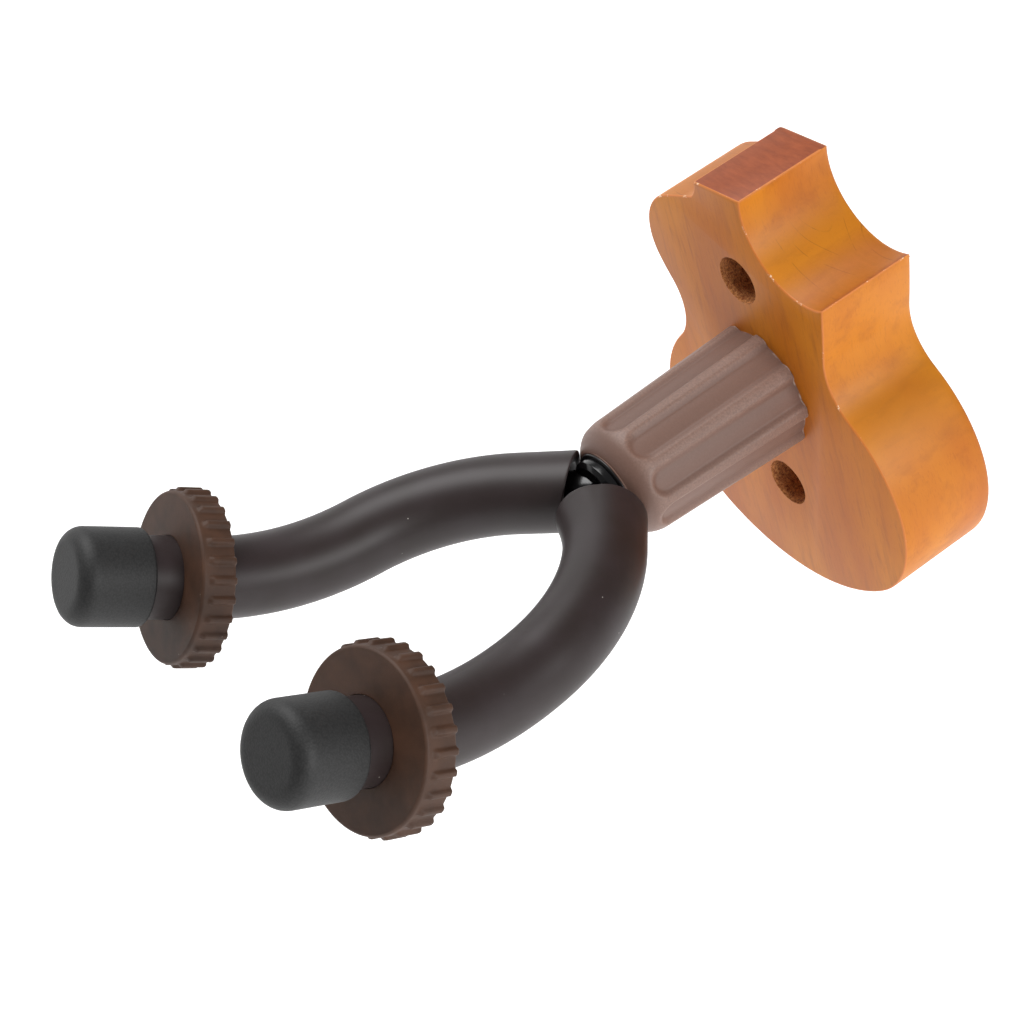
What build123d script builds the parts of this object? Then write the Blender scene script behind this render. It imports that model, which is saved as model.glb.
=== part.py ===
from build123d import *
from math import asin, cos, radians, sin
import os

# Wall guitar hanger, in millimetres.
# The origin is where the barrel's axis meets the wall. +Z is up, +Y goes into the wall,
# and the hanger stands out from the wall towards -Y. "Depth" below is the distance from
# the wall, so a depth of 25 is the plane y = -25.

# ---- driving dimensions -------------------------------------------------------------

# hardwood base plate, cut to a guitar outline with one cutaway
plate_thickness = 25.0
neck_block_half_width = 7.4
neck_block_top = 49.8
shoulder_end = (-10.0, 45.2)
shoulder_step = (-8.6, 46.6)
cutaway_hollow = (11.0, 34.9)
horn_tip = (27.8, 30.3)
upper_bout_top = (-20.0, 42.1)
upper_bout_side = (-28.6, 23.6)
left_waist = (-26.1, 18.5)
right_waist = (24.4, 16.2)
flank = (28.7, 1.6)
lower_bout_above = (38.7, -15.5)
lower_bout_below = (38.0, -30.7)
heel_corner = (25.4, -46.6)
plate_bottom = -53.6

# two wall screws, one above and one below the barrel
screw_spacing = 54.9
screw_hole_radius = 2.5
screw_head_radius = 5.7
screw_head_depth = 15.0

# nut pocket in the back of the plate
pocket_radius = 13.0
pocket_depth = 14.0

# moulded barrel between the plate and the yoke
barrel_length = 44.2
barrel_radius_at_plate = 14.7
barrel_radius_at_nose = 13.3
barrel_nose_round = 6.8
flute_count = 9
flute_width = 6.4
flute_depth = 0.9
flute_first_angle = 16.0
flute_end_margin = 4.4
spigot_length = 4.0
barrel_core_wall = 2.2
barrel_shell_wall = 2.0
barrel_nose_wall = 8.0
barrel_rib_count = 6
barrel_rib_thickness = 1.6

# shank, bushings, spacer tube and the fastening behind the plate
shank_radius = 4.0
bushing_radius = 6.4
bushing_length = 10.0
bushing_flange = 1.4
front_flange_radius = 8.8
rear_flange_radius = 9.0
flat_washer_radius = 12.0
flat_washer_thickness = 1.6
wave_washer_radius = 8.0
wave_washer_thickness = 1.0
nut_across_flats = 13.0
nut_height = 6.4
nut_collar_wall = 1.0
nut_insert_radius = 5.4
nut_insert_height = 1.5
shank_behind_nut = 0.6

# yoke: a weld hub and two bent rods
hub_radius = 8.0
hub_thickness = 2.6
hub_chamfer = 0.9
rod_radius = 4.5
rod_spread_angle = 51.3
rod_root_run = 20.0
side_bend_radius = 47.0
splay_angle = 7.9
rise_bend_radius = 64.3
rise_angle = 32.9

# sleeve on each rod
sleeve_radius = 8.75
sleeve_start = 9.9

# ribbed stop ring on each tip
ring_setback = 0.9
ring_radius = 18.9
ring_thickness = 7.4
ring_rim = 1.6
rib_count = 28
rib_depth = 0.8
rib_share = 0.52

# end cap on each tip
ring_to_cap = 6.3
cap_length = 16.2
cap_radius = 10.35
cap_nose_round = 3.7
cap_rim_round = 0.7
cap_end_wall = 4.0

# ---- clearances ---------------------------------------------------------------------

running_gap = 0.06
seat_gap = 0.05
push_fit_gap = 0.03
end_gap = 0.05
rod_slack = 0.15
rod_meeting_setback = 0.2
spacer_slack = 0.5
washer_slack = 0.25
cap_slack = 0.1
cut_past = 1.0
rod_past = 12.0

# ---- values that follow from them -----------------------------------------------------

nose_depth = plate_thickness + barrel_length
hub_back_depth = nose_depth + end_gap
hub_front_depth = hub_back_depth + hub_thickness
rod_meeting_depth = nose_depth - rod_meeting_setback
barrel_bore_radius = bushing_radius + seat_gap
core_radius = barrel_bore_radius + barrel_core_wall
sleeve_bore_radius = rod_radius + rod_slack
cap_start = ring_setback + ring_thickness + ring_to_cap
tip_length = cap_start + cap_length
tip_rod_length = tip_length - cap_end_wall - end_gap
rear_stack = pocket_depth - bushing_flange
washer_back_depth = rear_stack - end_gap - flat_washer_thickness
wave_back_depth = washer_back_depth - end_gap - wave_washer_thickness
nut_front_depth = wave_back_depth - end_gap
nut_back_depth = nut_front_depth - nut_height
insert_back_depth = nut_back_depth - nut_insert_height
shank_end_depth = insert_back_depth - shank_behind_nut


# ---- helpers --------------------------------------------------------------------------

def depth_plane(depth):
    """Plane square to the barrel's axis at a depth, facing away from the wall."""
    return Plane(origin=(0, -depth, 0), x_dir=(1, 0, 0), z_dir=(0, -1, 0))


def disc(radius, near, far):
    """Round bar on the barrel's axis from one depth to a greater one."""
    return extrude(depth_plane(near) * Circle(radius), far - near)


def tube(radius, bore, near, far):
    return disc(radius, near, far) - disc(bore, near - cut_past, far + cut_past)


# ---- base plate -------------------------------------------------------------------------

def smooth_arcs(start, heading, stops):
    """Arcs from stop to stop, each one tangent to the one before."""
    arcs = []
    for stop in stops:
        arc = TangentArc(start, stop, tangent=heading)
        heading = arc % 1
        start = stop
        arcs.append(arc)
    return arcs


def lower_half(side):
    """Points up one side from the bottom to the flank: -1 is left, 1 is right."""
    points = (heel_corner, lower_bout_below, lower_bout_above, flank)
    return [(side * across, height) for across, height in points]


def plate_outline():
    bottom = (0, plate_bottom)
    block_right = (neck_block_half_width, neck_block_top)
    block_left = (-neck_block_half_width, neck_block_top)
    right = lower_half(1) + [right_waist, horn_tip]
    left = lower_half(-1) + [left_waist, upper_bout_side, upper_bout_top, shoulder_end]
    edges = [
        ThreePointArc(horn_tip, cutaway_hollow, block_right),
        Line(block_right, block_left),
        ThreePointArc(block_left, shoulder_step, shoulder_end),
    ]
    edges += smooth_arcs(bottom, (1, 0), right)
    edges += smooth_arcs(bottom, (-1, 0), left)
    return make_face(Plane.XZ * Curve(edges))


def base_plate():
    front = plate_thickness + cut_past
    plate = extrude(plate_outline(), plate_thickness, dir=(0, -1, 0))
    for height in (screw_spacing / 2, -screw_spacing / 2):
        place = Pos(0, 0, height)
        plate -= place * disc(screw_hole_radius, -cut_past, front)
        plate -= place * disc(screw_head_radius, plate_thickness - screw_head_depth, front)
    plate -= disc(pocket_radius, -cut_past, pocket_depth)
    plate -= disc(bushing_radius + seat_gap, 0, front)
    plate -= disc(core_radius + seat_gap, plate_thickness - spigot_length - end_gap, front)
    return plate


# ---- barrel and what runs inside it -------------------------------------------------------

def barrel_body():
    """Tapered round body with its rounded nose, without flutes or bore."""
    profile = Polyline(
        (0, 0),
        (barrel_radius_at_plate, 0),
        (barrel_radius_at_nose, barrel_length),
        (0, barrel_length),
        close=True,
    )
    body = revolve(make_face(Plane.XY * profile), Axis.Y)
    nose = body.edges().sort_by(Axis.Y)[-1]
    body = fillet(nose, barrel_nose_round)
    return Pos(0, -plate_thickness, 0) * (Rot(180, 0, 0) * body)


def flute_cutter():
    """Long round-ended cutter that leaves one shallow flute along the taper."""
    half_width = flute_width / 2
    bulge = half_width**2 / (2 * barrel_radius_at_plate)
    hollow = flute_depth - bulge
    cutter_radius = half_width**2 / (2 * hollow)
    taper = barrel_radius_at_plate - barrel_radius_at_nose
    lean = asin(taper / barrel_length)
    reach = barrel_length - flute_end_margin - half_width
    axis_offset = barrel_radius_at_plate - flute_depth + cutter_radius
    start = Vector(axis_offset, -plate_thickness, 0)
    along = Vector(-sin(lean), -cos(lean), 0)
    cross = Plane(origin=start - along * cut_past, z_dir=along)
    groove = extrude(cross * Circle(cutter_radius), cut_past + reach)
    arch = scale(Sphere(1), by=(cutter_radius, half_width, cutter_radius))
    return groove + Pos(start + along * reach) * arch


def barrel():
    body = barrel_body()
    pitch = 360 / flute_count
    cutter = flute_cutter()
    for index in range(flute_count):
        body -= Rot(0, -(flute_first_angle + index * pitch), 0) * cutter
    spigot_back = plate_thickness - spigot_length
    body += disc(core_radius, spigot_back, plate_thickness + cut_past)
    body -= barrel_core()
    body -= disc(barrel_bore_radius, spigot_back - cut_past, nose_depth + cut_past)
    flange_seat = nose_depth - bushing_flange
    body -= disc(front_flange_radius + seat_gap, flange_seat, nose_depth + cut_past)
    return body


def barrel_core():
    """Ring-shaped hollow behind the nose, open at the back and split by ribs."""
    shell = barrel_radius_at_nose - flute_depth - barrel_shell_wall
    hollow = tube(shell, core_radius, plate_thickness, nose_depth - barrel_nose_wall)
    rib_length = nose_depth - plate_thickness
    rib = Box(2 * shell, rib_length, barrel_rib_thickness)
    rib = Pos(0, -plate_thickness - rib_length / 2, 0) * rib
    for index in range(barrel_rib_count // 2):
        hollow -= Rot(0, index * 360 / barrel_rib_count, 0) * rib
    return hollow


def front_bushing():
    bore = shank_radius + running_gap
    flange_back = nose_depth - bushing_flange
    body = disc(bushing_radius, flange_back - bushing_length, nose_depth)
    body += disc(front_flange_radius, flange_back + push_fit_gap, nose_depth)
    return body - disc(bore, 0, nose_depth + cut_past)


def rear_bushing():
    bore = shank_radius + running_gap
    body = disc(bushing_radius, rear_stack, pocket_depth + bushing_length)
    body += disc(rear_flange_radius, rear_stack, pocket_depth)
    return body - disc(bore, 0, plate_thickness)


def spacer_tube():
    near = pocket_depth + bushing_length + end_gap
    far = nose_depth - bushing_flange - bushing_length - end_gap
    return tube(bushing_radius, shank_radius + spacer_slack, near, far)


# ---- fastening in the nut pocket ------------------------------------------------------------

def rear_washer():
    bore = shank_radius + washer_slack
    return tube(flat_washer_radius, bore, washer_back_depth, washer_back_depth + flat_washer_thickness)


def wave_washer():
    bore = shank_radius + washer_slack
    return tube(wave_washer_radius, bore, wave_back_depth, wave_back_depth + wave_washer_thickness)


def lock_nut():
    corner_radius = nut_across_flats / 3**0.5
    hexagon = depth_plane(nut_back_depth) * RegularPolygon(corner_radius, 6)
    body = extrude(hexagon, nut_height)
    body += disc(nut_insert_radius + nut_collar_wall, insert_back_depth, nut_back_depth)
    body -= disc(nut_insert_radius + push_fit_gap, 0, nut_back_depth)
    return body - disc(shank_radius + push_fit_gap, 0, nut_front_depth + cut_past)


def nut_insert():
    bore = shank_radius + push_fit_gap
    return tube(nut_insert_radius, bore, insert_back_depth, nut_back_depth - end_gap)


# ---- yoke -------------------------------------------------------------------------------------

def shank():
    return disc(shank_radius, shank_end_depth, hub_front_depth)


def yoke_hub():
    body = disc(hub_radius, hub_back_depth, hub_front_depth)
    front = body.edges().sort_by(Axis.Y)[0]
    body = chamfer(front, hub_chamfer)
    return body - disc(shank_radius + push_fit_gap, 0, hub_front_depth + cut_past)


def bend(start, along, toward, radius, angle):
    """Arc that leaves start in one direction and turns towards another."""
    def on_arc(turned):
        return start + (along * sin(turned) + toward * (1 - cos(turned))) * radius
    arc = ThreePointArc(start, on_arc(angle / 2), on_arc(angle))
    return arc, on_arc(angle), along * cos(angle) + toward * sin(angle)


def arm_route(side, skip, tip):
    """Centre line of an arm. It starts a distance from where the two rods' centre lines
    meet on the barrel's axis, and ends a distance past the rise bend."""
    spread = radians(rod_spread_angle)
    out = Vector(side * sin(spread), -cos(spread), 0)
    forward = Vector(-side * cos(spread), -sin(spread), 0)
    meeting = Vector(0, -rod_meeting_depth, 0)
    start = meeting + out * skip
    turn_in = meeting + out * rod_root_run
    side_angle = spread - radians(splay_angle)
    side_arc, rise_start, along = bend(turn_in, out, forward, side_bend_radius, side_angle)
    rise_arc, tip_start, tip_along = bend(
        rise_start, along, Vector(0, 0, 1), rise_bend_radius, radians(rise_angle)
    )
    straight = Line(tip_start, tip_start + tip_along * tip)
    route = Wire([Line(start, turn_in).edge(), side_arc.edge(), rise_arc.edge(), straight.edge()])
    return route, Plane(origin=start, z_dir=out)


def tip_plane(side, distance):
    """Plane square to an arm's straight tip, a distance past the rise bend."""
    route, _ = arm_route(side, 0, tip_length)
    along = route % 1
    tip_end = route @ 1
    return Plane(origin=tip_end - along * (tip_length - distance), x_dir=(1, 0, 0), z_dir=along)


def arm_rod(side):
    route, root = arm_route(side, -rod_past, tip_rod_length)
    rod = sweep(root * Circle(rod_radius), path=route)
    reach = 2 * nose_depth
    other_side = Pos(-side * reach / 2, -nose_depth, 0) * Box(reach, 2 * reach, reach)
    rod -= other_side
    rod -= disc(hub_radius + push_fit_gap, 0, hub_front_depth)
    return rod - disc(reach, 0, hub_back_depth)


def sleeve(side):
    route, root = arm_route(side, sleeve_start, tip_rod_length)
    return sweep(root * (Circle(sleeve_radius) - Circle(sleeve_bore_radius)), path=route)


def bar(radius, length):
    """Round bar standing on the XY plane."""
    return Cylinder(radius, length, align=(Align.CENTER, Align.CENTER, Align.MIN))


def stop_ring(side):
    """Ring with a smooth front rim and ribs from there to its back face."""
    ribbed_length = ring_thickness - ring_rim
    outline = bar(ring_radius - rib_depth, ring_thickness)
    pitch = 360 / rib_count
    rib_radius = ring_radius * radians(pitch) * rib_share / 2
    rib = Pos(ring_radius - rib_radius, 0, 0) * bar(rib_radius, ribbed_length)
    for index in range(rib_count):
        outline += Rot(0, 0, index * pitch) * rib
    bore = bar(sleeve_radius + running_gap, ring_thickness)
    return tip_plane(side, ring_setback) * (outline - bore)


def end_cap(side):
    body = bar(cap_radius, cap_length)
    body = fillet(body.edges().sort_by(Axis.Z)[-1], cap_nose_round)
    body = fillet(body.edges().sort_by(Axis.Z)[0], cap_rim_round)
    socket = bar(sleeve_radius + cap_slack, cap_length - cap_end_wall)
    return tip_plane(side, cap_start) * (body - socket)


# ---- write one file for each piece ---------------------------------------------------------------

pieces = {
    "base_plate": base_plate(),
    "barrel": barrel(),
    "spacer_tube": spacer_tube(),
    "front_bushing": front_bushing(),
    "rear_bushing": rear_bushing(),
    "rear_washer": rear_washer(),
    "wave_washer": wave_washer(),
    "lock_nut": lock_nut(),
    "nut_insert": nut_insert(),
    "shank": shank(),
    "yoke_hub": yoke_hub(),
}
for name, side in (("left", -1), ("right", 1)):
    pieces[f"arm_rod_{name}"] = arm_rod(side)
    pieces[f"sleeve_{name}"] = sleeve(side)
    pieces[f"stop_ring_{name}"] = stop_ring(side)
    pieces[f"end_cap_{name}"] = end_cap(side)

os.makedirs("parts", exist_ok=True)
for name, piece in pieces.items():
    export_step(piece, f"parts/{name}.step")
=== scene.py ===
from math import cos, pi, radians, sin, sqrt, tan
import bmesh
import bpy
from mathutils import Matrix, Vector


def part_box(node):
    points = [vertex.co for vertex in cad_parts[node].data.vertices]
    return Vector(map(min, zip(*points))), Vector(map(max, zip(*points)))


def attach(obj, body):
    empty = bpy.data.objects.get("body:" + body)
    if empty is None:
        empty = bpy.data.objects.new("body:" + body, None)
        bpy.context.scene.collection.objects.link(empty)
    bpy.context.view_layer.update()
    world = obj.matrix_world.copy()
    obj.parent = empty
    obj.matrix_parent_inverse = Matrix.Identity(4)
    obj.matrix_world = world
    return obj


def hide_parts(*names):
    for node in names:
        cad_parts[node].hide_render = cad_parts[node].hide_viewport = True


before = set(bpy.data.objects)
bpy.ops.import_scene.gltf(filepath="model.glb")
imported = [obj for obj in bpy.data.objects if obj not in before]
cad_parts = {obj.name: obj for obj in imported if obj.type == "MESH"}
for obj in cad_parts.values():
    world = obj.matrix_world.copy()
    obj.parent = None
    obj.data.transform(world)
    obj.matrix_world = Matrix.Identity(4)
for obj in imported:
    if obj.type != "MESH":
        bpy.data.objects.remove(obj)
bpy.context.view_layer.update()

# Sizes below are in millimetres and angles in degrees, as on a drawing. MM turns them to metres.
MM = 0.001


def box_mm(node):
    """Lowest and highest corner of a node at rest, in millimetres."""
    low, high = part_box(node)
    return low / MM, high / MM


# ---- sizes ---------------------------------------------------------------------------

# depth is the distance from the wall, along -Y
plate_front = -box_mm("base_plate")[0].y
nose_depth = -box_mm("barrel")[0].y

front_arris_round = 0.35
back_arris_round = 1.3
sharp_edge_angle = 35
screw_height = 27.45
screw_recess_radius = 5.7
nut_pocket_radius = 13.0

barrel_root_radius = 14.7
barrel_nose_radius = 13.3
barrel_nose_round = 6.8
barrel_bore_radius = 6.45
barrel_lip = 0.5
spigot_radius = 8.65
spigot_length = 4.0
flute_count = 9
flute_width = 6.4
flute_depth = 1.3
flute_first_angle = 16.0
flute_end_margin = 4.4
flute_wall = 1.9

shank_radius = 4.0
running_gap = 0.06
thread_clear_radius = 4.03
thread_end = 14.0
thread_pitch = 1.25
thread_depth = 0.5
spacer_bore_radius = 4.5
washer_bore_radius = 4.25
washer_radius = 12.0
wave_washer_radius = 8.0
wave_count = 3
wave_gauge_share = 0.5
nut_half_width = 6.5
nut_corner_radius = 7.45
nut_collar_radius = 6.4
nut_collar_height = 1.5
nut_rear_chamfer = 0.8
nut_front_chamfer = 0.5
insert_radius = 5.4
insert_room_radius = 5.45
bushing_radius = 6.4
front_flange_radius = 8.8
rear_flange_radius = 9.0
flange_thickness = 1.4
seat_gap = 0.05

hub_radius = 8.0
hub_chamfer = 0.9
meeting_depth = 69.0
spread_angle = 51.3
root_run = 20.0
side_bend_radius = 47.0
splay_angle = 7.9
rise_bend_radius = 64.3
rise_angle = 32.9

sleeve_radius = 8.75
sleeve_bore_radius = 4.65
sleeve_start = 9.9
mouth_length = 10.0
mouth_flare = {"left": 0.0, "right": 1.9}
mouth_bore_flare = 1.6
mouth_bore_length = 5.0
mouth_reach = {"left": 1.75, "right": 0.3}
mouth_slant = {"left": 2.65, "right": 0.8}

ring_setback = 0.9
ring_thickness = 7.4
ring_radius = 18.9
ring_rim = 1.6
ring_bore_radius = 8.81
rib_count = 28
rib_depth = 0.8
rib_share = 0.36
rib_root_share = 1.35
rib_wall_share = 0.8
rib_end_round = 0.7
rib_band = 2.0

cap_start = 14.6
cap_length = 16.2
cap_radius = 10.35
cap_nose_round = 3.7
cap_socket_radius = 8.85
cap_end_wall = 4.0

side_bend_end = root_run + side_bend_radius * radians(spread_angle - splay_angle)
tip_start = side_bend_end + rise_bend_radius * radians(rise_angle)


# ---- colour and nodes -------------------------------------------------------------------

def colour(hex_code):
    """sRGB hex to linear RGBA."""
    channels = [int(hex_code[place:place + 2], 16) / 255 for place in (1, 3, 5)]
    linear = [c / 12.92 if c <= 0.04045 else ((c + 0.055) / 1.055) ** 2.4 for c in channels]
    return (*linear, 1.0)


def add(tree, kind, inputs=None, **settings):
    """Adds a node. An input is a number, a colour or another node's output."""
    node = tree.nodes.new(kind)
    for name, value in settings.items():
        setattr(node, name, value)
    for socket, value in (inputs or {}).items():
        if isinstance(value, bpy.types.NodeSocket):
            tree.links.new(value, node.inputs[socket])
        else:
            node.inputs[socket].default_value = value
    return node


def finish_named(name):
    """A new material: its node tree and its surface shader."""
    material = bpy.data.materials.new(name)
    material.use_nodes = True
    tree = material.node_tree
    return material, tree, tree.nodes["Principled BSDF"]


def per_mm(size):
    """Texture scale whose features are about this many millimetres across."""
    return 1 / (size * MM)


# ---- geometry -----------------------------------------------------------------------------

def straight_axis(origin, along, across):
    """Axis of a turned piece: point and cross directions at a distance along it."""
    up = along.cross(across)

    def at(distance):
        return origin + along * distance, across, up

    return at


def arm_axis(side):
    """Centre line of an arm, by distance from where the two arms' lines meet."""
    spread = radians(spread_angle)
    out = Vector((side * sin(spread), -cos(spread), 0))
    forward = Vector((-side * cos(spread), -sin(spread), 0))
    upward = Vector((0, 0, 1))
    meeting = Vector((0, -meeting_depth, 0))

    def turned(start, along, toward, radius, angle):
        point = start + (along * sin(angle) + toward * (1 - cos(angle))) * radius
        heading = along * cos(angle) + toward * sin(angle)
        return point, heading

    turn_start = meeting + out * root_run
    side_angle = spread - radians(splay_angle)
    rise_start, level = turned(turn_start, out, forward, side_bend_radius, side_angle)
    tip_point, tip_heading = turned(rise_start, level, upward, rise_bend_radius, radians(rise_angle))

    def at(distance):
        if distance < root_run:
            point, heading = meeting + out * distance, out
        elif distance < side_bend_end:
            angle = (distance - root_run) / side_bend_radius
            point, heading = turned(turn_start, out, forward, side_bend_radius, angle)
        elif distance < tip_start:
            angle = (distance - side_bend_end) / rise_bend_radius
            point, heading = turned(rise_start, level, upward, rise_bend_radius, angle)
        else:
            point, heading = tip_point + tip_heading * (distance - tip_start), tip_heading
        across = heading.cross(upward).normalized()
        return point, across, across.cross(heading)

    return at


def eased(share):
    """Smooth step from 0 to 1, held level beyond both ends."""
    held = min(1, max(0, share))
    return held * held * (3 - 2 * held)


def from_centre(angle, count, first_angle=0.0):
    """Angle to the middle of the nearest of some features that are evenly spread round a circle."""
    pitch = 2 * pi / count
    return (angle - radians(first_angle) + pitch / 2) % pitch - pitch / 2


def rounded(corners, steps=5):
    """Closed profile with each corner turned into an arc. A corner is (along, radius, round)."""
    points = []
    for index, (along, radius, bend) in enumerate(corners):
        here = Vector((along, radius))
        if bend == 0:
            points.append(here)
            continue
        before = (Vector(corners[index - 1][:2]) - here).normalized()
        after = (Vector(corners[(index + 1) % len(corners)][:2]) - here).normalized()
        half = before.angle(after) / 2
        centre = here + (before + after).normalized() * bend / sin(half)
        first = here + before * bend / tan(half) - centre
        last = here + after * bend / tan(half) - centre
        whole = first.angle(last)
        for step in range(steps + 1):
            share = step / steps
            mix = first * sin((1 - share) * whole) + last * sin(share * whole)
            points.append(centre + mix / sin(whole))
    return points


def filled(points, longest):
    """The same closed profile with extra points, so that no step is longer than this."""
    dense = []
    for here, following in zip(points, points[1:] + points[:1]):
        count = max(1, int((following - here).length / longest + 0.999))
        dense += [here.lerp(following, step / count) for step in range(count)]
    return dense


def skin(name, profile, around, axis, shaped=None):
    """Closed skin whose profile points, (along, radius), are carried round an axis.
    shaped(angle, along, radius) gives the point's own distance along the axis and radius."""
    made = bmesh.new()
    rings = []
    for along, radius in profile:
        ring = []
        for index in range(around):
            angle = 2 * pi * index / around
            there, reach = shaped(angle, along, radius) if shaped else (along, radius)
            origin, across, up = axis(there)
            point = origin + (across * cos(angle) + up * sin(angle)) * reach
            ring.append(made.verts.new(point * MM))
        rings.append(ring)
    for ring, following in zip(rings, rings[1:] + rings[:1]):
        for index in range(around):
            after = (index + 1) % around
            made.faces.new((ring[index], ring[after], following[after], following[index]))
    bmesh.ops.remove_doubles(made, verts=made.verts, dist=0.001 * MM)
    bmesh.ops.recalc_face_normals(made, faces=made.faces)
    if made.calc_volume(signed=True) < 0:
        bmesh.ops.reverse_faces(made, faces=made.faces)
    mesh = bpy.data.meshes.new(name)
    made.to_mesh(mesh)
    made.free()
    mesh.shade_smooth()
    piece = bpy.data.objects.new(name, mesh)
    bpy.context.scene.collection.objects.link(piece)
    return piece


def place(piece, body, slot, material, *nodes):
    """Gives a piece its body, its finish and the nodes that it stands for."""
    if not piece.data.materials:
        piece.data.materials.append(material)
    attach(piece, body)
    if nodes:
        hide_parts(*nodes)
    return piece


# ---- finishes -------------------------------------------------------------------------------

def dust(tree, where, cell, share):
    """Mask of a few pale specks of lint."""
    cells = add(tree, "ShaderNodeTexVoronoi", {"Vector": where, "Scale": per_mm(cell)})
    near = add(tree, "ShaderNodeMapRange", {"Value": cells.outputs["Distance"], "From Min": 0.03,
               "From Max": 0.055, "To Min": 1.0, "To Max": 0.0})
    pick = add(tree, "ShaderNodeSeparateColor", {"Color": cells.outputs["Color"]})
    chosen = add(tree, "ShaderNodeMath", {0: pick.outputs["Red"], 1: share}, operation="LESS_THAN")
    mask = add(tree, "ShaderNodeMath", {0: near.outputs["Result"], 1: chosen.outputs[0]},
               operation="MULTIPLY")
    return mask.outputs[0]


def lacquered_beech():
    """Beech board, orange stain under satin lacquer: an even glowing tone with a faint upright
    grain, dark hairlines in the cutaway and red-brown end grain on the block's top."""
    material, tree, shader = finish_named("lacquered_beech")
    where = add(tree, "ShaderNodeTexCoord").outputs["Object"]
    normal = add(tree, "ShaderNodeNewGeometry").outputs["Normal"]
    facing = add(tree, "ShaderNodeSeparateXYZ", {"Vector": normal})
    place_on = add(tree, "ShaderNodeSeparateXYZ", {"Vector": where})
    # tone: slow change across the board, drawn out along the fibres
    drawn = add(tree, "ShaderNodeMapping", {"Vector": where, "Scale": (1, 1, 0.3)})
    slow = add(tree, "ShaderNodeTexNoise", {"Vector": drawn.outputs[0], "Scale": per_mm(16), "Detail": 3.0})
    tone = add(tree, "ShaderNodeValToRGB", {"Fac": slow.outputs["Fac"]})
    tone.color_ramp.elements[0].position = 0.3
    tone.color_ramp.elements[0].color = colour("#B8610A")
    tone.color_ramp.elements[1].position = 0.7
    tone.color_ramp.elements[1].color = colour("#CF7D12")
    # figure: fine lines that wander across the thickness
    figure_space = add(tree, "ShaderNodeMapping", {"Vector": where, "Scale": (1, 0.22, 0.12)})
    figure = add(tree, "ShaderNodeTexNoise", {"Vector": figure_space.outputs[0], "Scale": per_mm(1.5),
                 "Detail": 4.0, "Roughness": 0.6})
    figure_mask = add(tree, "ShaderNodeMapRange", {"Value": figure.outputs["Fac"], "From Min": 0.5,
                      "From Max": 0.72, "To Max": 0.55})
    figured = add(tree, "ShaderNodeMixRGB", {"Fac": figure_mask.outputs["Result"],
                  "Color1": tone.outputs["Color"], "Color2": colour("#A85A0E")})
    # pores: real ones are under 0.1 mm wide, drawn 0.4 mm wide and 2.5 mm long so that they show
    fleck_space = add(tree, "ShaderNodeMapping", {"Vector": where, "Scale": (1, 1, 0.16)})
    flecks = add(tree, "ShaderNodeTexNoise", {"Vector": fleck_space.outputs[0], "Scale": per_mm(0.4),
                 "Detail": 2.0, "Roughness": 0.6})
    fleck_mask = add(tree, "ShaderNodeMapRange", {"Value": flecks.outputs["Fac"], "From Min": 0.54,
                     "From Max": 0.78, "To Max": 0.32})
    flecked = add(tree, "ShaderNodeMixRGB", {"Fac": fleck_mask.outputs["Result"],
                  "Color1": figured.outputs[0], "Color2": colour("#9A4A10")})
    # hairlines: thin growth lines that show where the cutaway slants through the fibres
    slant = add(tree, "ShaderNodeMapRange", {"Value": facing.outputs["Z"], "From Min": 0.3,
                "From Max": 0.6})
    in_cutaway = add(tree, "ShaderNodeMapRange", {"Value": place_on.outputs["Z"], "From Min": 27 * MM,
                     "From Max": 29 * MM})
    line_space = add(tree, "ShaderNodeMapping", {"Vector": where, "Scale": (0.8, 2.0, 0.8)})
    field = add(tree, "ShaderNodeTexNoise", {"Vector": line_space.outputs[0], "Scale": per_mm(38),
                "Detail": 1.0, "Roughness": 0.35})
    stepped = add(tree, "ShaderNodeMath", {0: field.outputs["Fac"], 1: 16.0}, operation="MULTIPLY")
    contour = add(tree, "ShaderNodeMath", {0: stepped.outputs[0], 1: 0.5}, operation="PINGPONG")
    line_mask = add(tree, "ShaderNodeMapRange", {"Value": contour.outputs[0], "From Min": 0.0,
                    "From Max": 0.04, "To Min": 0.38, "To Max": 0.0})
    broken = add(tree, "ShaderNodeTexNoise", {"Vector": where, "Scale": per_mm(5), "Detail": 3.0})
    part = add(tree, "ShaderNodeMapRange", {"Value": broken.outputs["Fac"], "From Min": 0.44,
               "From Max": 0.54})
    line_part = add(tree, "ShaderNodeMath", {0: line_mask.outputs["Result"], 1: part.outputs["Result"]},
                    operation="MULTIPLY")
    line_high = add(tree, "ShaderNodeMath", {0: line_part.outputs[0], 1: in_cutaway.outputs["Result"]},
                    operation="MULTIPLY")
    lined_share = add(tree, "ShaderNodeMath", {0: line_high.outputs[0], 1: slant.outputs["Result"]},
                      operation="MULTIPLY")
    golden_share = add(tree, "ShaderNodeMath", {0: slant.outputs["Result"], 1: 0.5}, operation="MULTIPLY")
    golden = add(tree, "ShaderNodeMixRGB", {"Fac": golden_share.outputs[0],
                 "Color1": flecked.outputs[0], "Color2": colour("#CC8218")})
    lined = add(tree, "ShaderNodeMixRGB", {"Fac": lined_share.outputs[0], "Color1": golden.outputs[0],
                "Color2": colour("#5F3508")})
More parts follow.
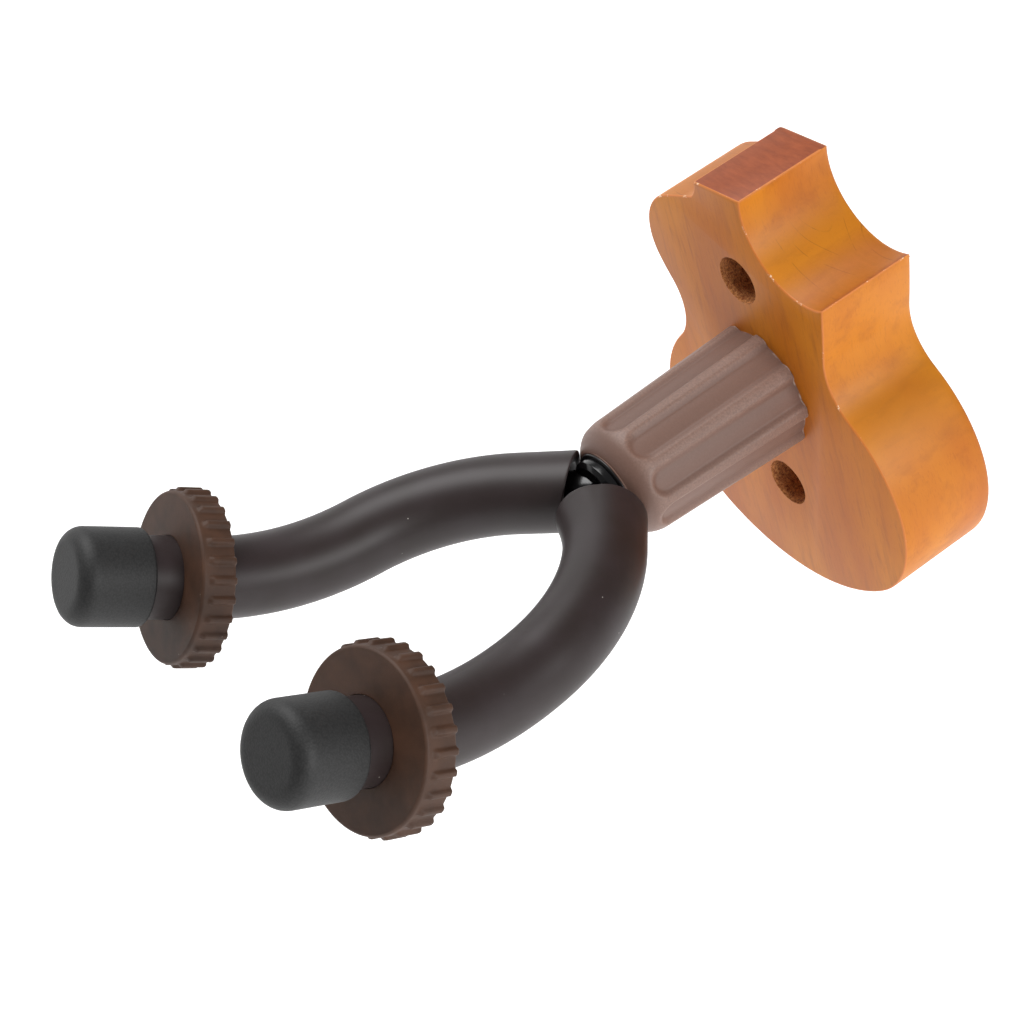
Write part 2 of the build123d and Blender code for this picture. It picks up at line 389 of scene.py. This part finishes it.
    # end grain at the top drinks more stain and shows short streaks across the board
    streak_space = add(tree, "ShaderNodeMapping", {"Vector": where, "Scale": (0.35, 1, 1)})
    streaks = add(tree, "ShaderNodeTexNoise", {"Vector": streak_space.outputs[0], "Scale": per_mm(1.6),
                  "Detail": 5.0, "Roughness": 0.7})
    dark_end = add(tree, "ShaderNodeValToRGB", {"Fac": streaks.outputs["Fac"]})
    dark_end.color_ramp.elements[0].position = 0.36
    dark_end.color_ramp.elements[0].color = colour("#8A3F18")
    dark_end.color_ramp.elements[1].position = 0.66
    dark_end.color_ramp.elements[1].color = colour("#A04D22")
    upward = add(tree, "ShaderNodeMapRange", {"Value": facing.outputs["Z"], "From Min": 0.8,
                 "From Max": 0.97})
    at_top = add(tree, "ShaderNodeMapRange", {"Value": place_on.outputs["Z"], "From Min": 44 * MM,
                 "From Max": 48.5 * MM, "To Min": 0.45})
    end_share = add(tree, "ShaderNodeMath", {0: upward.outputs["Result"], 1: at_top.outputs["Result"]},
                    operation="MULTIPLY")
    # so does the cutaway's outer end, by the horn's tip
    by_horn = add(tree, "ShaderNodeMapRange", {"Value": place_on.outputs["X"], "From Min": 24 * MM,
                  "From Max": 27.5 * MM, "To Max": 0.8})
    horn_slant = add(tree, "ShaderNodeMath", {0: by_horn.outputs["Result"], 1: slant.outputs["Result"]},
                     operation="MULTIPLY")
    horn_share = add(tree, "ShaderNodeMath", {0: horn_slant.outputs[0],
                     1: in_cutaway.outputs["Result"]}, operation="MULTIPLY")
    dark_share = add(tree, "ShaderNodeMath", {0: end_share.outputs[0], 1: horn_share.outputs[0]},
                     operation="MAXIMUM")
    board = add(tree, "ShaderNodeMixRGB", {"Fac": dark_share.outputs[0], "Color1": lined.outputs[0],
                "Color2": dark_end.outputs["Color"]})
    tree.links.new(board.outputs[0], shader.inputs["Base Color"])
    shader.inputs["Roughness"].default_value = 0.48
    shader.inputs["IOR"].default_value = 1.41
    grain_bump = add(tree, "ShaderNodeBump", {"Height": flecks.outputs["Fac"], "Strength": 0.08,
                     "Distance": 0.08 * MM})
    tree.links.new(grain_bump.outputs[0], shader.inputs["Normal"])
    return material


def chipped_arris():
    """The board's sharp edges, where lacquer wears thin: paler, with a few small bare chips."""
    material, tree, shader = finish_named("chipped_arris")
    where = add(tree, "ShaderNodeTexCoord").outputs["Object"]
    chips = add(tree, "ShaderNodeTexNoise", {"Vector": where, "Scale": per_mm(2.4), "Detail": 5.0,
                "Roughness": 0.75})
    wear = add(tree, "ShaderNodeValToRGB", {"Fac": chips.outputs["Fac"]})
    wear.color_ramp.elements[0].position = 0.6
    wear.color_ramp.elements[0].color = colour("#CC7423")
    wear.color_ramp.elements[1].position = 0.66
    wear.color_ramp.elements[1].color = colour("#F3D9B4")
    tree.links.new(wear.outputs["Color"], shader.inputs["Base Color"])
    shader.inputs["Roughness"].default_value = 0.5
    return material


def drilled_beech():
    """Wood inside drilled holes: torn fibres soaked with orange stain, rough, with dark pits."""
    material, tree, shader = finish_named("drilled_beech")
    where = add(tree, "ShaderNodeTexCoord").outputs["Object"]
    torn = add(tree, "ShaderNodeTexNoise", {"Vector": where, "Scale": per_mm(0.6), "Detail": 4.0,
               "Roughness": 0.85})
    shade = add(tree, "ShaderNodeValToRGB", {"Fac": torn.outputs["Fac"]})
    shade.color_ramp.elements[0].position = 0.38
    shade.color_ramp.elements[0].color = colour("#8A3E10")
    shade.color_ramp.elements[1].position = 0.64
    shade.color_ramp.elements[1].color = colour("#EBA463")
    bump = add(tree, "ShaderNodeBump", {"Height": torn.outputs["Fac"], "Strength": 0.9,
               "Distance": 0.35 * MM})
    tree.links.new(shade.outputs["Color"], shader.inputs["Base Color"])
    tree.links.new(bump.outputs[0], shader.inputs["Normal"])
    shader.inputs["Roughness"].default_value = 0.8
    return material


def moulded_nylon_brown():
    """Taupe-brown glass-filled nylon from a spark-eroded mould: fine matt grit that glints a little."""
    material, tree, shader = finish_named("moulded_nylon_brown")
    where = add(tree, "ShaderNodeTexCoord").outputs["Object"]
    depth = add(tree, "ShaderNodeSeparateXYZ", {"Vector": where})
    # real grit is about 0.1 mm, drawn coarser so that it shows
    grit = add(tree, "ShaderNodeTexNoise", {"Vector": where, "Scale": per_mm(0.45), "Detail": 3.0,
               "Roughness": 0.7})
    shade = add(tree, "ShaderNodeValToRGB", {"Fac": grit.outputs["Fac"]})
    shade.color_ramp.elements[0].position = 0.35
    shade.color_ramp.elements[0].color = colour("#775D52")
    shade.color_ramp.elements[1].position = 0.7
    shade.color_ramp.elements[1].color = colour("#8B6E62")
    # painted shade: the flute floors and the nose are drawn darker than the lands
    flat = add(tree, "ShaderNodeMapping", {"Vector": where, "Scale": (1, 0, 1)})
    reach = add(tree, "ShaderNodeVectorMath", {0: flat.outputs[0]}, operation="LENGTH")
    land = add(tree, "ShaderNodeMapRange", {"Value": depth.outputs["Y"], "From Min": -nose_depth * MM,
               "From Max": -plate_front * MM, "To Min": barrel_nose_radius * MM,
               "To Max": barrel_root_radius * MM})
    below = add(tree, "ShaderNodeMath", {0: land.outputs["Result"], 1: reach.outputs["Value"]},
                operation="SUBTRACT")
    flute_painted_shade = add(tree, "ShaderNodeMapRange", {"Value": below.outputs[0], "From Min": 0.25 * MM,
                   "From Max": 1.1 * MM, "To Max": 0.75})
    shade = add(tree, "ShaderNodeMixRGB", {"Fac": flute_painted_shade.outputs["Result"],
                "Color1": shade.outputs["Color"], "Color2": colour("#6F5348")})
    # painted highlight: a thin pale patchy line round the root edge, where the barrel meets the board
    root = add(tree, "ShaderNodeMapRange", {"Value": depth.outputs["Y"],
               "From Min": -(plate_front + 0.45) * MM, "From Max": -(plate_front + 0.2) * MM})
    uneven = add(tree, "ShaderNodeTexNoise", {"Vector": where, "Scale": per_mm(2.5), "Detail": 2.0})
    patchy = add(tree, "ShaderNodeMapRange", {"Value": uneven.outputs["Fac"], "From Min": 0.5,
                 "From Max": 0.65, "To Max": 0.6})
    root_highlight_mask = add(tree, "ShaderNodeMath", {0: root.outputs["Result"], 1: patchy.outputs["Result"]},
                    operation="MULTIPLY")
    root_highlighted = add(tree, "ShaderNodeMixRGB", {"Fac": root_highlight_mask.outputs[0], "Color1": shade.outputs[0],
                "Color2": colour("#CDBDB0")})
    tree.links.new(root_highlighted.outputs[0], shader.inputs["Base Color"])
    bump = add(tree, "ShaderNodeBump", {"Height": grit.outputs["Fac"], "Strength": 0.22,
               "Distance": 0.08 * MM})
    tree.links.new(bump.outputs[0], shader.inputs["Normal"])
    shader.inputs["Roughness"].default_value = 0.5
    shader.inputs["IOR"].default_value = 1.5
    return material


def satin_tube_rubber():
    """Very dark brown rubber tube, extruded: satin, with a long soft highlight and a few specks of lint."""
    material, tree, shader = finish_named("satin_tube_rubber")
    where = add(tree, "ShaderNodeTexCoord").outputs["Object"]
    cloud = add(tree, "ShaderNodeTexNoise", {"Vector": where, "Scale": per_mm(9), "Detail": 5.0})
    shade = add(tree, "ShaderNodeValToRGB", {"Fac": cloud.outputs["Fac"]})
    shade.color_ramp.elements[0].position = 0.3
    shade.color_ramp.elements[0].color = colour("#251B19")
    shade.color_ramp.elements[1].position = 0.7
    shade.color_ramp.elements[1].color = colour("#2D2324")
    specks = dust(tree, where, 2.6, 0.06)
    dusty = add(tree, "ShaderNodeMixRGB", {"Fac": specks, "Color1": shade.outputs["Color"],
                "Color2": colour("#B9B2AC")})
    tree.links.new(dusty.outputs[0], shader.inputs["Base Color"])
    # the extruded skin's grain is finer than this in truth, drawn coarser so that it shows
    skin_grain = add(tree, "ShaderNodeTexNoise", {"Vector": where, "Scale": per_mm(0.5), "Detail": 2.0})
    bump = add(tree, "ShaderNodeBump", {"Height": skin_grain.outputs["Fac"], "Strength": 0.12,
               "Distance": 0.06 * MM})
    tree.links.new(bump.outputs[0], shader.inputs["Normal"])
    shader.inputs["Roughness"].default_value = 0.47
    shader.inputs["IOR"].default_value = 1.46
    return material


def moulded_rubber_brown():
    """Milk-chocolate brown moulded rubber: matt."""
    material, tree, shader = finish_named("moulded_rubber_brown")
    where = add(tree, "ShaderNodeTexCoord").outputs["Object"]
    cloud = add(tree, "ShaderNodeTexNoise", {"Vector": where, "Scale": per_mm(5), "Detail": 6.0})
    shade = add(tree, "ShaderNodeValToRGB", {"Fac": cloud.outputs["Fac"]})
    shade.color_ramp.elements[0].position = 0.3
    shade.color_ramp.elements[0].color = colour("#3A2416")
    shade.color_ramp.elements[1].position = 0.7
    shade.color_ramp.elements[1].color = colour("#4B3020")
    specks = dust(tree, where, 2.2, 0.05)
    dusty = add(tree, "ShaderNodeMixRGB", {"Fac": specks, "Color1": shade.outputs["Color"],
                "Color2": colour("#9C8B7E")})
    tree.links.new(dusty.outputs[0], shader.inputs["Base Color"])
    # mould grit, drawn coarser than the real 0.1 mm so that it shows
    grit = add(tree, "ShaderNodeTexNoise", {"Vector": where, "Scale": per_mm(0.4), "Detail": 2.0})
    bump = add(tree, "ShaderNodeBump", {"Height": grit.outputs["Fac"], "Strength": 0.2,
               "Distance": 0.08 * MM})
    tree.links.new(bump.outputs[0], shader.inputs["Normal"])
    shader.inputs["Roughness"].default_value = 0.62
    shader.inputs["IOR"].default_value = 1.45
    return material


def pebbled_rubber_charcoal():
    """Charcoal rubber with a pebbled mould texture: matt, each pebble about half a millimetre."""
    material, tree, shader = finish_named("pebbled_rubber_charcoal")
    where = add(tree, "ShaderNodeTexCoord").outputs["Object"]
    pebbles = add(tree, "ShaderNodeTexVoronoi", {"Vector": where, "Scale": per_mm(0.42), "Randomness": 1.0})
    shade = add(tree, "ShaderNodeValToRGB", {"Fac": pebbles.outputs["Distance"]})
    shade.color_ramp.elements[0].position = 0.0
    shade.color_ramp.elements[0].color = colour("#262626")
    shade.color_ramp.elements[1].position = 0.8
    shade.color_ramp.elements[1].color = colour("#151515")
    tree.links.new(shade.outputs["Color"], shader.inputs["Base Color"])
    bump = add(tree, "ShaderNodeBump", {"Height": pebbles.outputs["Distance"], "Strength": 0.3,
               "Distance": 0.12 * MM}, invert=True)
    tree.links.new(bump.outputs[0], shader.inputs["Normal"])
    shader.inputs["Roughness"].default_value = 0.6
    shader.inputs["IOR"].default_value = 1.5
    return material


def black_enamelled_steel():
    """Steel rod under gloss black stove enamel: deep black with sharp reflections."""
    material, tree, shader = finish_named("black_enamelled_steel")
    where = add(tree, "ShaderNodeTexCoord").outputs["Object"]
    peel = add(tree, "ShaderNodeTexNoise", {"Vector": where, "Scale": per_mm(1.6), "Detail": 2.0})
    bump = add(tree, "ShaderNodeBump", {"Height": peel.outputs["Fac"], "Strength": 0.15,
               "Distance": 0.08 * MM})
    tree.links.new(bump.outputs[0], shader.inputs["Normal"])
    shader.inputs["Base Color"].default_value = colour("#0B0B0C")
    shader.inputs["Roughness"].default_value = 0.2
    shader.inputs["IOR"].default_value = 1.5
    return material


def moulded_acetal_black():
    """Black acetal bushing: smooth, faintly waxy."""
    material, tree, shader = finish_named("moulded_acetal_black")
    where = add(tree, "ShaderNodeTexCoord").outputs["Object"]
    flow = add(tree, "ShaderNodeTexNoise", {"Vector": where, "Scale": per_mm(2.0), "Detail": 3.0})
    shade = add(tree, "ShaderNodeValToRGB", {"Fac": flow.outputs["Fac"]})
    shade.color_ramp.elements[0].color = colour("#171516")
    shade.color_ramp.elements[1].color = colour("#211E1E")
    tree.links.new(shade.outputs["Color"], shader.inputs["Base Color"])
    shader.inputs["Roughness"].default_value = 0.35
    return material


def zinc_plated_steel():
    """Bright zinc plate on pressed steel: silvery with faint cloudy spangle."""
    material, tree, shader = finish_named("zinc_plated_steel")
    where = add(tree, "ShaderNodeTexCoord").outputs["Object"]
    spangle = add(tree, "ShaderNodeTexNoise", {"Vector": where, "Scale": per_mm(2.5), "Detail": 4.0})
    shade = add(tree, "ShaderNodeValToRGB", {"Fac": spangle.outputs["Fac"]})
    shade.color_ramp.elements[0].color = colour("#A9ADB2")
    shade.color_ramp.elements[1].color = colour("#D4D6D6")
    rough = add(tree, "ShaderNodeMapRange", {"Value": spangle.outputs["Fac"], "To Min": 0.22,
                "To Max": 0.4})
    tree.links.new(shade.outputs["Color"], shader.inputs["Base Color"])
    tree.links.new(rough.outputs["Result"], shader.inputs["Roughness"])
    shader.inputs["Metallic"].default_value = 1.0
    return material


def natural_nylon():
    """Pale milky nylon of the lock nut's insert."""
    material, tree, shader = finish_named("natural_nylon")
    where = add(tree, "ShaderNodeTexCoord").outputs["Object"]
    cloud = add(tree, "ShaderNodeTexNoise", {"Vector": where, "Scale": per_mm(1.5), "Detail": 2.0})
    shade = add(tree, "ShaderNodeValToRGB", {"Fac": cloud.outputs["Fac"]})
    shade.color_ramp.elements[0].color = colour("#C9CFD6")
    shade.color_ramp.elements[1].color = colour("#E4E7EA")
    tree.links.new(shade.outputs["Color"], shader.inputs["Base Color"])
    shader.inputs["Roughness"].default_value = 0.45
    shader.inputs["Subsurface Weight"].default_value = 0.1
    shader.inputs["Subsurface Scale"].default_value = 1.0 * MM
    return material


beech = lacquered_beech()
arris = chipped_arris()
bare_beech = drilled_beech()
nylon_brown = moulded_nylon_brown()
tube_rubber = satin_tube_rubber()
ring_rubber = moulded_rubber_brown()
cap_rubber = pebbled_rubber_charcoal()
enamel = black_enamelled_steel()
acetal = moulded_acetal_black()
zinc = zinc_plated_steel()
milky_nylon = natural_nylon()


# ---- wooden plate -------------------------------------------------------------------------------

def wooden_plate():
    """The board's own shape with its edges broken by sanding."""
    made = bmesh.new()
    made.from_mesh(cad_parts["base_plate"].data)
    bmesh.ops.remove_doubles(made, verts=made.verts, dist=0.002 * MM)
    bmesh.ops.dissolve_limit(made, angle_limit=radians(0.5), verts=made.verts, edges=made.edges)
    made.normal_update()
    near = 0.01 * MM

    def outside(vert):
        """True on the outline, false on the holes."""
        x, z = vert.co.x / MM, vert.co.z / MM
        if sqrt(x * x + z * z) < nut_pocket_radius + 0.5:
            return False
        return all(sqrt(x * x + (z - up) ** 2) > screw_recess_radius + 0.8
                   for up in (screw_height, -screw_height))

    def sharp_edges(nearest, furthest):
        """Sharp edges of the outline whose ends both lie between two depths."""
        found = [e for e in made.edges
                 if len(e.link_faces) == 2 and e.calc_face_angle() > radians(sharp_edge_angle)]
        found = [e for e in found if all(outside(v) for v in e.verts)]
        return [e for e in found if all(nearest - near <= -v.co.y <= furthest + near for v in e.verts)]

    # the back rim is rounded first, and the corners stay crisp only in front of that round
    bmesh.ops.bevel(made, geom=sharp_edges(0, 0), offset=back_arris_round * MM, segments=4, profile=0.5,
                    affect="EDGES", clamp_overlap=False)
    crisp_from = 2 * back_arris_round * MM
    everything = made.verts[:] + made.edges[:] + made.faces[:]
    bmesh.ops.bisect_plane(made, geom=everything, plane_co=(0, -crisp_from, 0), plane_no=(0, 1, 0))
    crisp_edges = sharp_edges(crisp_from, plate_front * MM)
    broken = bmesh.ops.bevel(made, geom=crisp_edges, offset=front_arris_round * MM, segments=2,
                             profile=0.5, affect="EDGES", clamp_overlap=False)
    for face in broken["faces"]:
        face.material_index = 1
    made.normal_update()
    for face in made.faces:
        face.smooth = abs(face.normal.y) < 0.999
        centre = face.calc_center_median() / MM
        if face.material_index == 0 and (abs(face.normal.y) < 0.5 or 0.1 < -centre.y < plate_front - 0.1):
            in_hole = any(sqrt(centre.x ** 2 + (centre.z - up) ** 2) < screw_recess_radius + 0.1
                          for up in (screw_height, -screw_height, 0))
            in_pocket = sqrt(centre.x ** 2 + centre.z ** 2) < nut_pocket_radius + 0.2
            if in_hole or in_pocket:
                face.material_index = 2
    mesh = bpy.data.meshes.new("wooden_plate")
    made.to_mesh(mesh)
    made.free()
    mesh.attributes.remove(mesh.attributes["custom_normal"])
    mesh.set_sharp_from_angle(angle=radians(50))
    for material in (beech, arris, bare_beech):
        mesh.materials.append(material)
    piece = bpy.data.objects.new("wooden_plate", mesh)
    bpy.context.scene.collection.objects.link(piece)
    return place(piece, "wall_mount", "wood", beech, "base_plate")


wooden_plate()


# ---- barrel -----------------------------------------------------------------------------------

wall_axis = straight_axis(Vector((0, 0, 0)), Vector((0, -1, 0)), Vector((1, 0, 0)))


def fluted(angle, depth, radius):
    """Flat-bottomed flutes with soft walls, each closed by a round arch near the nose."""
    if depth < plate_front or radius < front_flange_radius + barrel_lip:
        return depth, radius
    off = from_centre(angle, flute_count, flute_first_angle)
    half_width = flute_width / 2
    past = max(0, depth - (nose_depth - flute_end_margin - half_width))
    from_middle = sqrt((off * radius) ** 2 + past ** 2)
    share = eased((half_width + flute_wall / 2 - from_middle) / flute_wall)
    taper = (barrel_root_radius - barrel_nose_radius) / (nose_depth - plate_front)
    floor_radius = barrel_root_radius - taper * (depth - plate_front) - flute_depth
    return depth, radius - share * max(0, radius - floor_radius)


def barrel():
    """The tapered moulding, its spigot in the board and the seat for the front bushing's flange."""
    flange_seat = nose_depth - flange_thickness
    corners = [
        (plate_front, spigot_radius, 0),
        (plate_front, barrel_root_radius, 0.3),
        (nose_depth, barrel_nose_radius, barrel_nose_round),
        (nose_depth, front_flange_radius + seat_gap, 0.3),
        (flange_seat, front_flange_radius + seat_gap, 0),
        (flange_seat, barrel_bore_radius, 0),
        (plate_front - spigot_length, barrel_bore_radius, 0),
        (plate_front - spigot_length, spigot_radius, 0),
    ]
    profile = filled(rounded(corners, 14), 0.55)
    piece = skin("barrel_moulding", profile, 36 * flute_count, wall_axis, fluted)
    piece.data.set_sharp_from_angle(angle=radians(50))
    return place(piece, "wall_mount", "barrel_plastic", nylon_brown, "barrel")


barrel()


# ---- fastening -------------------------------------------------------------------------------

def turned_piece(node, corners, body, slot, material, shaped=None, around=96):
    """Piece turned about the barrel's axis, with its edges broken."""
    piece = skin(f"{node}_turned", filled(rounded(corners), 1.0), around, wall_axis, shaped)
    piece.data.set_sharp_from_angle(angle=radians(45))
    return place(piece, body, slot, material, node)


def ring_corners(near, far, bore, radius, edge):
    """Profile of a plain ring whose four edges have the same round."""
    return [(near, bore, edge), (near, radius, edge), (far, radius, edge), (far, bore, edge)]


def span(node):
    """The depths between which a node lies."""
    low, high = box_mm(node)
    return -high.y, -low.y


def waved(angle, depth, radius):
    """Shallow waves that touch both faces of the room the washer has."""
    near, far = span("wave_washer")
    middle = (near + far) / 2
    lift = (far - near) * (1 - wave_gauge_share) / 2 * sin(wave_count * angle)
    return middle + (depth - middle) * wave_gauge_share + lift, radius


def hexagonal(angle, depth, radius):
    """A hexagon with flats facing along X, chamfered at its corners, and a round collar."""
    if radius < nut_collar_radius + 0.01:
        return depth, radius
    turn = (angle % (pi / 3)) - pi / 6
    return depth, min(radius, nut_half_width / cos(turn))


def threaded(angle, depth, radius):
    """Shallow screw thread on the shank's rear end."""
    if radius < shank_radius - thread_depth or depth > thread_end:
        return depth, radius
    turn = (depth / thread_pitch + angle / (2 * pi)) % 1
    fade = min(1, (thread_end - depth) / thread_pitch)
    return depth, radius - thread_depth * fade * (0.5 + 0.5 * cos(2 * pi * turn))


def hardware():
    """The fastening on the barrel's axis, from the wall to the hub."""
    near, far = span("spacer_tube")
    turned_piece("spacer_tube", ring_corners(near, far, spacer_bore_radius, bushing_radius, 0.3),
                 "wall_mount", "zinc_steel", zinc)
    bore = shank_radius + running_gap
    near, far = span("front_bushing")
    turned_piece("front_bushing", [
        (near, bore, 0.2),
        (near, bushing_radius, 0.5),
        (far - flange_thickness, bushing_radius, 0.1),
        (far - flange_thickness, front_flange_radius, 0.15),
        (far, front_flange_radius, 0.35),
        (far, bore, 0.2),
    ], "wall_mount", "bushing_plastic", acetal)
    near, far = span("rear_bushing")
    turned_piece("rear_bushing", [
        (near, bore, 0.2),
        (near, rear_flange_radius, 0.35),
        (near + flange_thickness, rear_flange_radius, 0.15),
        (near + flange_thickness, bushing_radius, 0.1),
        (far, bushing_radius, 0.5),
        (far, bore, 0.2),
    ], "wall_mount", "bushing_plastic", acetal)
    near, far = span("rear_washer")
    turned_piece("rear_washer", ring_corners(near, far, washer_bore_radius, washer_radius, 0.25),
                 "wall_mount", "zinc_steel", zinc)
    near, far = span("wave_washer")
    turned_piece("wave_washer", ring_corners(near, far, washer_bore_radius, wave_washer_radius, 0.1),
                 "wall_mount", "zinc_steel", zinc, waved)
    near, far = span("lock_nut")
    collar_end = near + nut_collar_height
    turned_piece("lock_nut", [
        (near, insert_room_radius, 0.1),
        (near, nut_collar_radius, 0.6),
        (collar_end, nut_collar_radius, 0),
        (collar_end, nut_half_width, 0),
        (collar_end + nut_rear_chamfer, nut_corner_radius, 0),
        (far - nut_front_chamfer, nut_corner_radius, 0),
        (far, nut_half_width, 0),
        (far, thread_clear_radius, 0.2),
        (collar_end, thread_clear_radius, 0),
        (collar_end, insert_room_radius, 0),
    ], "yoke", "zinc_steel", zinc, hexagonal, 144)
    near, far = span("nut_insert")
    turned_piece("nut_insert", ring_corners(near, far, thread_clear_radius, insert_radius, 0.15),
                 "yoke", "nylon", milky_nylon)
    near, far = span("shank")
    turned_piece("shank", [
        (near, 0, 0), (near, shank_radius, 0.7), (far, shank_radius, 0.15), (far, 0, 0),
    ], "yoke", "black_metal", zinc, threaded)
    near, far = span("yoke_hub")
    turned_piece("yoke_hub", [
        (near, thread_clear_radius, 0.1),
        (near, hub_radius, 0.25),
        (far - hub_chamfer, hub_radius, 0.3),
        (far, hub_radius - hub_chamfer, 0.3),
        (far, thread_clear_radius, 0.15),
    ], "yoke", "black_metal", enamel)


hardware()

# the rods show only between the hub and the sleeves, and keep their own shape
for node in ("arm_rod_left", "arm_rod_right"):
    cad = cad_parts[node]
    cad.data.materials.clear()
    cad.data.materials.append(enamel)


# ---- arms ---------------------------------------------------------------------------------------

def sleeve(name, side):
    """Rubber tube over a rod. Its open mouth is cut at a slant and flared."""
    start, end = sleeve_start, tip_start + cap_start + cap_length - cap_end_wall - seat_gap
    corners = [
        (start, sleeve_bore_radius, 0.35),
        (start, sleeve_radius, 0.45),
        (end, sleeve_radius, 0.3),
        (end, sleeve_bore_radius, 0.3),
    ]
    inner = 0 if side > 0 else pi
    flared, reached, slant = mouth_flare[name], mouth_reach[name], mouth_slant[name]

    def mouth(angle, along, radius):
        near = max(0, 1 - (along - start) / mouth_length)
        outer_flare = near ** 1.6 * max(0, cos(angle - inner)) * flared
        bore_flare = mouth_bore_flare * max(0, 1 - (along - start) / mouth_bore_length)
        depth_in_wall = (sleeve_radius - radius) / (sleeve_radius - sleeve_bore_radius)
        flare = outer_flare * (1 - depth_in_wall) + bore_flare * depth_in_wall
        return along - near * (reached + slant * sin(angle) * radius / sleeve_radius), radius + flare

    piece = skin(f"sleeve_tube_{name}", filled(rounded(corners), 1.2), 96, arm_axis(side), mouth)
    return place(piece, "yoke", "sleeve_rubber", tube_rubber, f"sleeve_{name}")


def ribbed(angle, along, radius):
    """Ribs that stand on the ring's side from its back to its smooth rim."""
    if radius < ring_radius - rib_band:
        return along, radius
    outward = min(1, (radius - ring_radius + rib_band) / (2 * rib_depth))
    pitch = 2 * pi / rib_count
    from_rib = abs(from_centre(angle, rib_count)) / pitch * 2 / rib_share
    top = eased((rib_root_share - from_rib) / rib_wall_share)
    length = ring_thickness - ring_rim
    into_rim = (along - ring_setback - tip_start - length + rib_end_round) / rib_end_round
    if into_rim > 0:
        top *= sqrt(max(0, 1 - min(1, into_rim) ** 2))
    return along, radius - outward * rib_depth * (1 - top)


def ring(name, side):
    """Stop ring with a ribbed side and a smooth front rim."""
    back = tip_start + ring_setback
    front = back + ring_thickness
    corners = [
        (back, ring_bore_radius, 0.3),
        (back, ring_radius, 0.5),
        (front, ring_radius, 0.75),
        (front, ring_bore_radius, 0.12),
    ]
    profile = filled(rounded(corners, 8), 0.45)
    piece = skin(f"ribbed_ring_{name}", profile, 16 * rib_count, arm_axis(side), ribbed)
    return place(piece, f"ring_{name}", "ring_rubber", ring_rubber, f"stop_ring_{name}")


def cap(name, side):
    """Soft cap over the sleeve's end, round at its nose."""
    start = tip_start + cap_start
    end = start + cap_length
    corners = [
        (end - cap_end_wall, 0, 0),
        (end - cap_end_wall, cap_socket_radius, 0),
        (start, cap_socket_radius, 0.25),
        (start, cap_radius, 0.7),
        (end, cap_radius, cap_nose_round),
        (end, 0, 0),
    ]
    piece = skin(f"tip_cap_{name}", filled(rounded(corners, 10), 0.8), 128, arm_axis(side))
    return place(piece, "yoke", "cap_rubber", cap_rubber, f"end_cap_{name}")


for name, side in (("left", -1), ("right", 1)):
    sleeve(name, side)
    ring(name, side)
    cap(name, side)


# ---- studio ---------------------------------------------------------------------------------------

def floor():
    """White paper: a level sheet that curves up into a back wall on the left."""
    level, wall_start, bend_radius, half_width = -0.3, -1.0, 0.3, 3.0
    bend = [(wall_start - bend_radius * sin(radians(a)), level + bend_radius * (1 - cos(radians(a))))
            for a in range(0, 91, 10)]
    profile = [(half_width, level), *bend, (wall_start - bend_radius, 0.9)]
    made = bmesh.new()
    rows = [[made.verts.new((x, y, z)) for x, z in profile] for y in (-half_width, half_width)]
    for index in range(len(profile) - 1):
        made.faces.new((rows[0][index], rows[0][index + 1], rows[1][index + 1], rows[1][index]))
    mesh = bpy.data.meshes.new("paper_sweep")
    made.to_mesh(mesh)
    made.free()
    mesh.shade_smooth()
    piece = bpy.data.objects.new("paper_sweep", mesh)
    bpy.context.scene.collection.objects.link(piece)
    material, tree, shader = finish_named("white_paper")
    shader.inputs["Base Color"].default_value = colour("#F4F4F4")
    shader.inputs["Roughness"].default_value = 0.9
    shader.inputs["Emission Color"].default_value = (1, 1, 1, 1)
    shader.inputs["Emission Strength"].default_value = 0.52
    mesh.materials.append(material)


def lamp(name, position, target, size, power):
    """A round soft light that faces a point."""
    data = bpy.data.lights.new(name, "AREA")
    data.shape = "DISK"
    data.size = size
    data.energy = power
    lamp_object = bpy.data.objects.new(name, data)
    lamp_object.location = position
    lamp_object.rotation_euler = (Vector(target) - Vector(position)).to_track_quat("-Z", "Y").to_euler()
    bpy.context.scene.collection.objects.link(lamp_object)


def camera():
    """Looks down on the arms' side from the right, with the frame's top tilted to the left."""
    azimuth, elevation, roll = radians(65.26), radians(36.33), radians(18.49)
    back = Vector((sin(azimuth) * cos(elevation), -cos(azimuth) * cos(elevation), sin(elevation)))
    level = Vector((cos(azimuth), sin(azimuth), 0))
    upright = back.cross(level)
    right = level * cos(roll) - upright * sin(roll)
    turn = Matrix((right, back.cross(right), back)).transposed()
    data = bpy.data.cameras.new("camera")
    data.lens = 92.76
    data.sensor_width = 36
    eye = Vector((397.34, -274.57, 331.09)) * MM
    camera_object = bpy.data.objects.new("camera", data)
    camera_object.matrix_world = Matrix.Translation(eye) @ turn.to_4x4()
    bpy.context.scene.collection.objects.link(camera_object)
    bpy.context.scene.camera = camera_object


def studio():
    """Paper, pale surroundings, two soft lamps and the camera."""
    floor()
    world = bpy.data.worlds.new("studio")
    world.use_nodes = True
    world.node_tree.nodes["Background"].inputs["Color"].default_value = (1, 1, 1, 1)
    world.node_tree.nodes["Background"].inputs["Strength"].default_value = 0.2
    bpy.context.scene.world = world
    middle = (0, -0.09, 0)
    lamp("overhead", (-0.3, -0.1, 0.9), middle, 0.7, 8.0)
    lamp("side", (0.95, 0.0, 0.25), middle, 0.5, 6.3)
    camera()
    bpy.context.scene.view_settings.view_transform = "Standard"


studio()
